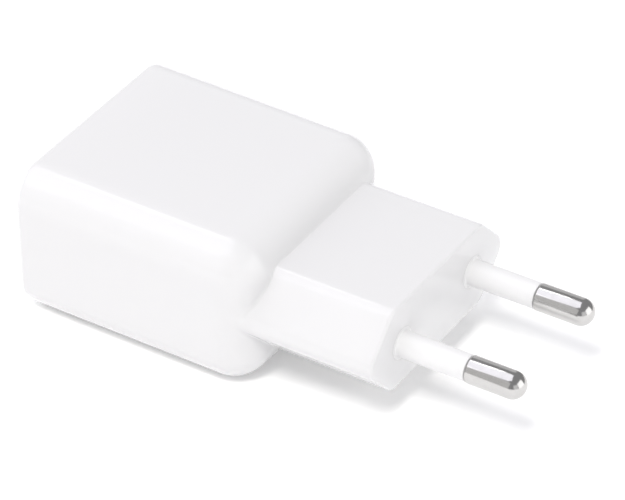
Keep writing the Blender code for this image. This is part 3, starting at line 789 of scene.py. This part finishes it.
def make_usb_contact(number, x):
    """A gold-plated contact, its section a flat bar with round corners."""
    path = contact_path()
    rings = []
    for index, (y, z) in enumerate(path):
        before = path[max(index - 1, 0)]
        after = path[min(index + 1, len(path) - 1)]
        slope = math.atan2(after[1] - before[1], after[0] - before[0])
        width = CONTACT_WIDTH * (0.7 if index == 0 else 1.0)
        section = rounded_rectangle(width, CONTACT_THICKNESS, CONTACT_THICKNESS * 0.35, 3)
        rings.append([(x + u, y - v * math.sin(slope), z + v * math.cos(slope)) for u, v in section])
    contact = loft(f"contact_{number}", rings, GOLD, "gold_plate")
    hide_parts(f"usb_contact_{number}")


make_usb_shell()
make_usb_tongue()
for contact_number, contact_x in enumerate(CONTACT_PLACES, start=1):
    make_usb_contact(contact_number, contact_x)


# ---------------------------------------------------------------- pins and sleeves

def turned_y(name, profile, x, look, slot, hollow=False):
    """A piece turned round a pin's axis from (radius, y) pairs."""
    rings = [across_y(circle(radius, x), y) for radius, y in profile]
    return loft(name, rings, look, slot, hollow)


def make_pin(word):
    """Tail, head and shank as in the frame, then bare metal with a round end."""
    low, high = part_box(f"pin_{word}")
    x = (low.x + high.x) / 2
    head = -PLUG_END_WALL - SEAM
    head_back = head - HEAD_LENGTH
    profile = [(0.0006, low.y), (0.0011, low.y + 0.0001), (SHANK_RADIUS, low.y + 0.0005)]
    profile += [(SHANK_RADIUS, head_back), (HEAD_RADIUS, head_back), (HEAD_RADIUS, head)]
    profile += [(SHANK_RADIUS, head), (SHANK_RADIUS, METAL_START)]
    for angle in arc(0, 90, 4):
        radius = PIN_RADIUS - METAL_EDGE * (1 - math.sin(angle))
        profile.append((radius, METAL_START + METAL_EDGE * (1 - math.cos(angle))))
    for angle in arc(0, 88, 22):
        profile.append((PIN_RADIUS * math.cos(angle), high.y - PIN_RADIUS * (1 - math.sin(angle))))
    pin = turned_y(f"pin_metal_{word}", profile, x, NICKEL, "nickel_plate")
    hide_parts(f"pin_{word}")


def make_sleeve(word, side):
    """The insulating sleeve, with its collar flush in the plug's end face and a small fillet above."""
    x = side * PIN_X
    end = METAL_START - SLEEVE_END_GAP
    bore = SHANK_RADIUS + BORE_CLEARANCE
    profile = [(bore, -PLUG_END_WALL), (SLEEVE_RADIUS, -PLUG_END_WALL), (SLEEVE_RADIUS, -COLLAR_DEPTH)]
    profile += [(COLLAR_RADIUS, -COLLAR_DEPTH), (COLLAR_RADIUS, 0.0)]
    for angle in arc(0, 90, 8):
        radius = SLEEVE_RADIUS + SLEEVE_FILLET * (1 - math.sin(angle))
        profile.append((radius, SLEEVE_FILLET * (1 - math.cos(angle))))
    for angle in arc(0, 90, 4):
        radius = SLEEVE_RADIUS - SLEEVE_EDGE * (1 - math.cos(angle))
        profile.append((radius, end - SLEEVE_EDGE * (1 - math.sin(angle))))
    profile.append((bore, end))
    sleeve = turned_y(f"sleeve_{word}", profile, x, SLEEVE_WHITE, "sleeve_plastic", hollow=True)
    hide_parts(f"pin_sleeve_{word}")


for side_word, side_sign in (("left", -1), ("right", 1)):
    make_pin(side_word)
    make_sleeve(side_word, side_sign)


# ---------------------------------------------------------------- pieces inside the body

TIN = (0.72, 0.71, 0.69)
ALUMINIUM = (0.77, 0.77, 0.78)
CHIP_BLACK = (0.018, 0.018, 0.02)
CAN_BLACK = (0.025, 0.026, 0.032)
CAN_GREEN = (0.025, 0.18, 0.10)
CAN_TOP = 0.25
FERRITE_GREYS = ((0.045, 0.045, 0.048), (0.075, 0.074, 0.076), (0.11, 0.108, 0.105))
# Each pair is the winding's own colour and a darker painted shade for the grooves between turns.
TAPE_COLOR_AND_GROOVE_SHADE = ((0.66, 0.47, 0.05), (0.82, 0.62, 0.09))
WIRE_COLOR_AND_GROOVE_SHADE = ((0.30, 0.11, 0.045), (0.74, 0.35, 0.17))
CERAMIC_BLUES = ((0.045, 0.17, 0.50), (0.07, 0.23, 0.60))
RESISTOR_GREYS = ((0.30, 0.37, 0.35), (0.40, 0.47, 0.45))


def middle_mm(node, axis):
    """The middle of a node's box along one axis, in millimetres."""
    low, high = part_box(node)
    return 500.0 * (low[axis] + high[axis])


def can_look(node, sleeve):
    """An electrolytic can: a plain sleeve below a bare aluminium top."""
    low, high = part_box(node)
    sleeve_height = (high.z - low.z) * 1000 - CAN_TOP
    return two_part(f"{node}_look", sleeve, 0.32, ALUMINIUM, "Z", low.z * 1000, sleeve_height)


def chip_look(node, body_half):
    """A moulded chip with tinned leads along its sides."""
    return two_part(f"{node}_look", CHIP_BLACK, 0.5, TIN, "X", middle_mm(node, 0), body_half)


def make_inner_looks():
    """Gives each piece that keeps its frame mesh a finished material."""
    ferrite = speckled("ferrite", FERRITE_GREYS, 0.6, 6.0)
    looks = {
        "pin_contact_left": BRONZE,
        "pin_contact_right": BRONZE,
        "main_board": circuit_board(),
        "transformer_core_lower": ferrite,
        "transformer_core_upper": ferrite,
        "transformer_bobbin": BLACK_PLASTIC,
        "transformer_winding": banded("tape_yellow", *TAPE_COLOR_AND_GROOVE_SHADE, 0.3, 0.0, 0.7, 0.00004),
        "choke_core": ferrite,
        "choke_winding": banded("copper_wire", *WIRE_COLOR_AND_GROOVE_SHADE, 0.28, 1.0, 5.0, 0.00006),
        "y_capacitor": speckled("ceramic_blue", CERAMIC_BLUES, 0.28, 1.5),
        "optocoupler": moulded_plastic("optocoupler_white", (0.74, 0.74, 0.71), 0.42, 0.03, 4.0, 0.00001),
        "fuse_resistor": speckled("resistor_grey", RESISTOR_GREYS, 0.5, 3.0),
        "insulating_barrier": card_stock(),
        "bridge_rectifier": chip_look("bridge_rectifier", 2.0),
        "controller_chip": chip_look("controller_chip", 1.95),
        "output_rectifier": chip_look("output_rectifier", 1.9),
    }
    for number in (1, 2):
        looks[f"input_capacitor_{number}"] = can_look(f"input_capacitor_{number}", CAN_BLACK)
        looks[f"output_capacitor_{number}"] = can_look(f"output_capacitor_{number}", CAN_GREEN)
    for node, look in looks.items():
        for material_slot in bpy.data.objects[node].material_slots:
            material_slot.material = look


make_inner_looks()


# ---------------------------------------------------------------- floor, light and camera

FLOOR_GLOW = 0.14
FLOOR_HALF_SIZE = 3.0
FLOOR_GAP = 0.00002


def make_floor():
    """A pale floor, level with the charger's lower face."""
    mesh_tool = bmesh.new()
    bmesh.ops.create_grid(mesh_tool, x_segments=1, y_segments=1, size=FLOOR_HALF_SIZE)
    floor = finish_mesh("floor", mesh_tool, None, None)
    floor.location.z = FLOOR_Z - FLOOR_GAP
    made = Nodes("pale_floor", (0.95, 0.95, 0.95), 0.6)
    made.roughness_from(made.remap(made.noise(0.02, 3.0), 0.3, 0.7, 0.55, 0.65))
    made.set(Specular_IOR_Level=0.2, Emission_Color=(1.0, 1.0, 1.0, 1.0), Emission_Strength=FLOOR_GLOW)
    floor.data.materials.append(made.material)


LIGHT_TARGET = Vector((0.0, -0.025, 0.0))
LIGHT_DISTANCE = 1.0
SURROUND = 0.36
SURROUND_TINT = (0.975, 0.972, 1.0)
WARM = (1.0, 0.988, 0.962)
COOL = (0.935, 0.925, 1.0)
NEUTRAL = (1.0, 1.0, 1.0)
# Name, azimuth, elevation, size, watts, tint, and whether glossy surfaces mirror it.
SOFTBOXES = (
    ("key", 104, 59, (0.25, 0.25), 5.1, WARM, False),
    ("overhead", 15, 63.6, (1.0, 1.0), 4.2, COOL, True),
    ("overhead_rim", 324, 58, (0.30, 0.03), 0.2, NEUTRAL, True),
    ("near_side_fill", 65, 24, (0.9, 0.9), 1.02, WARM, True),
    ("usb_end_fill", 0, 17, (0.6, 0.6), 2.6, NEUTRAL, False),
    ("pin_end_fill", 190, 15, (0.9, 0.9), 3.7, NEUTRAL, True),
    ("pin_near_fill", 145, 15, (0.6, 0.6), 0.6, NEUTRAL, True),
    ("far_side_fill", 250, 15, (0.6, 0.6), 1.2, NEUTRAL, False),
    ("far_corner_fill", 306, 18, (0.8, 0.5), 0.5, NEUTRAL, True),
)


def direction(azimuth, elevation):
    """Unit vector towards a place round the charger: azimuth 0 is the USB end, 90 is +X."""
    turn = math.radians(azimuth)
    rise = math.radians(elevation)
    return Vector((math.sin(turn) * math.cos(rise), -math.cos(turn) * math.cos(rise), math.sin(rise)))


def make_light():
    """Softboxes round the charger, in a dim even surround."""
    for name, azimuth, elevation, (width, height), watts, tint, mirrored in SOFTBOXES:
        data = bpy.data.lights.new(name, "AREA")
        data.shape = "RECTANGLE"
        data.size = width
        data.size_y = height
        data.color = tint
        data.energy = watts
        back = direction(azimuth, elevation)
        lamp = bpy.data.objects.new(name, data)
        lamp.location = LIGHT_TARGET + back * LIGHT_DISTANCE
        lamp.rotation_euler = back.to_track_quat("Z", "Y").to_euler()
        lamp.visible_glossy = mirrored
        bpy.context.scene.collection.objects.link(lamp)
    world = bpy.data.worlds.new("studio")
    bpy.context.scene.world = world
    world.use_nodes = True
    background = world.node_tree.nodes["Background"]
    background.inputs["Color"].default_value = (*SURROUND_TINT, 1.0)
    background.inputs["Strength"].default_value = SURROUND


CAMERA_AZIMUTH = 122.29
CAMERA_ELEVATION = 36.53
CAMERA_ROLL = -0.31
CAMERA_DISTANCE = 0.5037
CAMERA_AIM = (-0.01704, 0.00775)
CAMERA_LENS = 213.5


def make_camera():
    """A long lens, aimed a little to the left of and above the plug's end face."""
    roll = math.radians(CAMERA_ROLL)
    back = direction(CAMERA_AZIMUTH, CAMERA_ELEVATION)
    level = Vector((0, 0, 1)).cross(back).normalized()
    upright = back.cross(level)
    right = level * math.cos(roll) + upright * math.sin(roll)
    up = upright * math.cos(roll) - level * math.sin(roll)
    data = bpy.data.cameras.new("camera")
    data.lens = CAMERA_LENS
    data.sensor_width = 36.0
    data.clip_start = 0.01
    data.clip_end = 20.0
    camera = bpy.data.objects.new("camera", data)
    bpy.context.scene.collection.objects.link(camera)
    place = back * CAMERA_DISTANCE + right * CAMERA_AIM[0] + up * CAMERA_AIM[1]
    turn = Matrix((right, up, back)).transposed().to_4x4()
    camera.matrix_world = Matrix.Translation(place) @ turn
    bpy.context.scene.camera = camera


make_floor()
make_light()
make_camera()
bpy.context.scene.view_settings.view_transform = "Standard"
